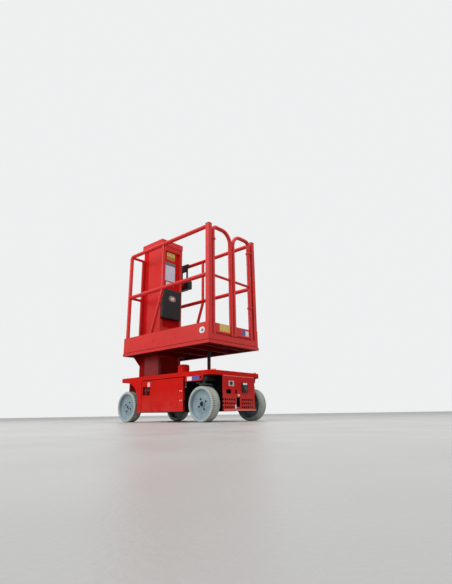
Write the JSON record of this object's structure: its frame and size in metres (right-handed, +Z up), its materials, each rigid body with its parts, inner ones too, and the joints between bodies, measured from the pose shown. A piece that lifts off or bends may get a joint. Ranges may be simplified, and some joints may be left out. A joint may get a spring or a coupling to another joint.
{
  "type": "self-propelled order picker",
  "caption": "Compact self-propelled order picker: guarded platform on a telescopic mast over a wheeled chassis with steered front wheels, side doors and entry gates.",
  "frame": {"origin": "on the floor under the middle of the machine", "axes": "+X towards the gates and the steered wheels, +Y left, +Z up"},
  "size_m": [1.385, 0.766, 2.055],
  "materials": {
    "red_paint": "gloss powder coat",
    "dark_steel": "black paint",
    "mast_rail": "red paint",
    "floor_plate": "chequered sheet, painted",
    "tyre": "non-marking grey rubber",
    "rim": "grey paint",
    "black_plastic": "moulded",
    "battery_case": "moulded"
  },
  "bodies": {
    "chassis": {"chassis_frame": "red_paint", "top_deck": "red_paint", "front_panel": "red_paint", "rear_panel": "red_paint", "battery_pack": "battery_case", "front_axle": "dark_steel", "rear_axle": "dark_steel", "rest_post": "red_paint", "motor_cover": "red_paint", "power_switch": "black_plastic", "mast_base": "red_paint"},
    "door_left": {"door_left": "red_paint", "latch_left": "red_paint"},
    "door_right": {"door_right": "red_paint", "latch_right": "red_paint"},
    "steer_left": {"knuckle_left": "dark_steel"},
    "steer_right": {"knuckle_right": "dark_steel"},
    "tie_rod": {"tie_rod": "dark_steel"},
    "wheel_front_left": {"tyre_front_left": "tyre", "wheel_front_left": "rim"},
    "wheel_front_right": {"tyre_front_right": "tyre", "wheel_front_right": "rim"},
    "wheel_rear_left": {"tyre_rear_left": "tyre", "wheel_rear_left": "rim"},
    "wheel_rear_right": {"tyre_rear_right": "tyre", "wheel_rear_right": "rim"},
    "mast_stage_1": {"mast_stage_1": "mast_rail"},
    "mast_stage_2": {"mast_stage_2": "mast_rail"},
    "platform": {"mast_column": "red_paint", "mast_hood": "red_paint", "platform_frame": "red_paint", "platform_floor": "floor_plate", "toe_boards": "red_paint", "front_post_left": "red_paint", "front_post_right": "red_paint", "post_caps": "black_plastic", "guard_left": "red_paint", "guard_right": "red_paint", "document_box": "black_plastic", "control_box": "black_plastic"},
    "gate_left": {"gate_left": "red_paint"},
    "gate_right": {"gate_right": "red_paint"}
  },
  "joints": [
    {"name": "steering", "type": "hinge", "parent": "chassis", "child": "steer_left", "pos_m": [0.54, 0.336, 0.372], "axis": [0, 0, 1], "range_deg": [-70, 70]},
    {"name": "steering_right", "type": "hinge", "parent": "chassis", "child": "steer_right", "pos_m": [0.54, -0.336, 0.372], "axis": [0, 0, 1], "range_deg": [-70, 70]},
    {"name": "tie_rod_eye", "type": "hinge", "parent": "steer_left", "child": "tie_rod", "pos_m": [0.492, 0.336, 0.336], "axis": [0, 0, 1], "range_deg": [-70, 70]},
    {"name": "roll_front_left", "type": "hinge", "parent": "steer_left", "child": "wheel_front_left", "pos_m": [0.54, 0.336, 0.1525], "axis": [0, 1, 0], "continuous": true},
    {"name": "roll_front_right", "type": "hinge", "parent": "steer_right", "child": "wheel_front_right", "pos_m": [0.54, -0.336, 0.1525], "axis": [0, 1, 0], "continuous": true},
    {"name": "roll_rear_left", "type": "hinge", "parent": "chassis", "child": "wheel_rear_left", "pos_m": [-0.54, 0.336, 0.1525], "axis": [0, 1, 0], "continuous": true},
    {"name": "roll_rear_right", "type": "hinge", "parent": "chassis", "child": "wheel_rear_right", "pos_m": [-0.54, -0.336, 0.1525], "axis": [0, 1, 0], "continuous": true},
    {"name": "door_left_hinge", "type": "hinge", "parent": "chassis", "child": "door_left", "pos_m": [0.324, 0.378, 0.25], "axis": [0, 0, -1], "range_deg": [0, 110]},
    {"name": "door_right_hinge", "type": "hinge", "parent": "chassis", "child": "door_right", "pos_m": [0.324, -0.378, 0.25], "axis": [0, 0, 1], "range_deg": [0, 110]},
    {"name": "mast_lift", "type": "slide", "parent": "chassis", "child": "mast_stage_1", "axis": [0, 0, 1], "range_m": [0, 1.2]},
    {"name": "mast_lift_2", "type": "slide", "parent": "mast_stage_1", "child": "mast_stage_2", "axis": [0, 0, 1], "range_m": [0, 1.2]},
    {"name": "mast_lift_3", "type": "slide", "parent": "mast_stage_2", "child": "platform", "axis": [0, 0, 1], "range_m": [0, 1.2]},
    {"name": "gate_left_hinge", "type": "hinge", "parent": "platform", "child": "gate_left", "pos_m": [0.6045, 0.28, 1.3], "axis": [0, 0, -1], "range_deg": [0, 85], "stiffness_Nm_per_rad": 3},
    {"name": "gate_right_hinge", "type": "hinge", "parent": "platform", "child": "gate_right", "pos_m": [0.6045, -0.28, 1.3], "axis": [0, 0, 1], "range_deg": [0, 85], "stiffness_Nm_per_rad": 3}
  ],
  "couplings": [
    {"joint": "steering_right", "follows": "steering", "ratio": 1},
    {"joint": "tie_rod_eye", "follows": "steering", "ratio": -1},
    {"joint": "mast_lift_2", "follows": "mast_lift", "ratio": 1},
    {"joint": "mast_lift_3", "follows": "mast_lift", "ratio": 1}
  ]
}
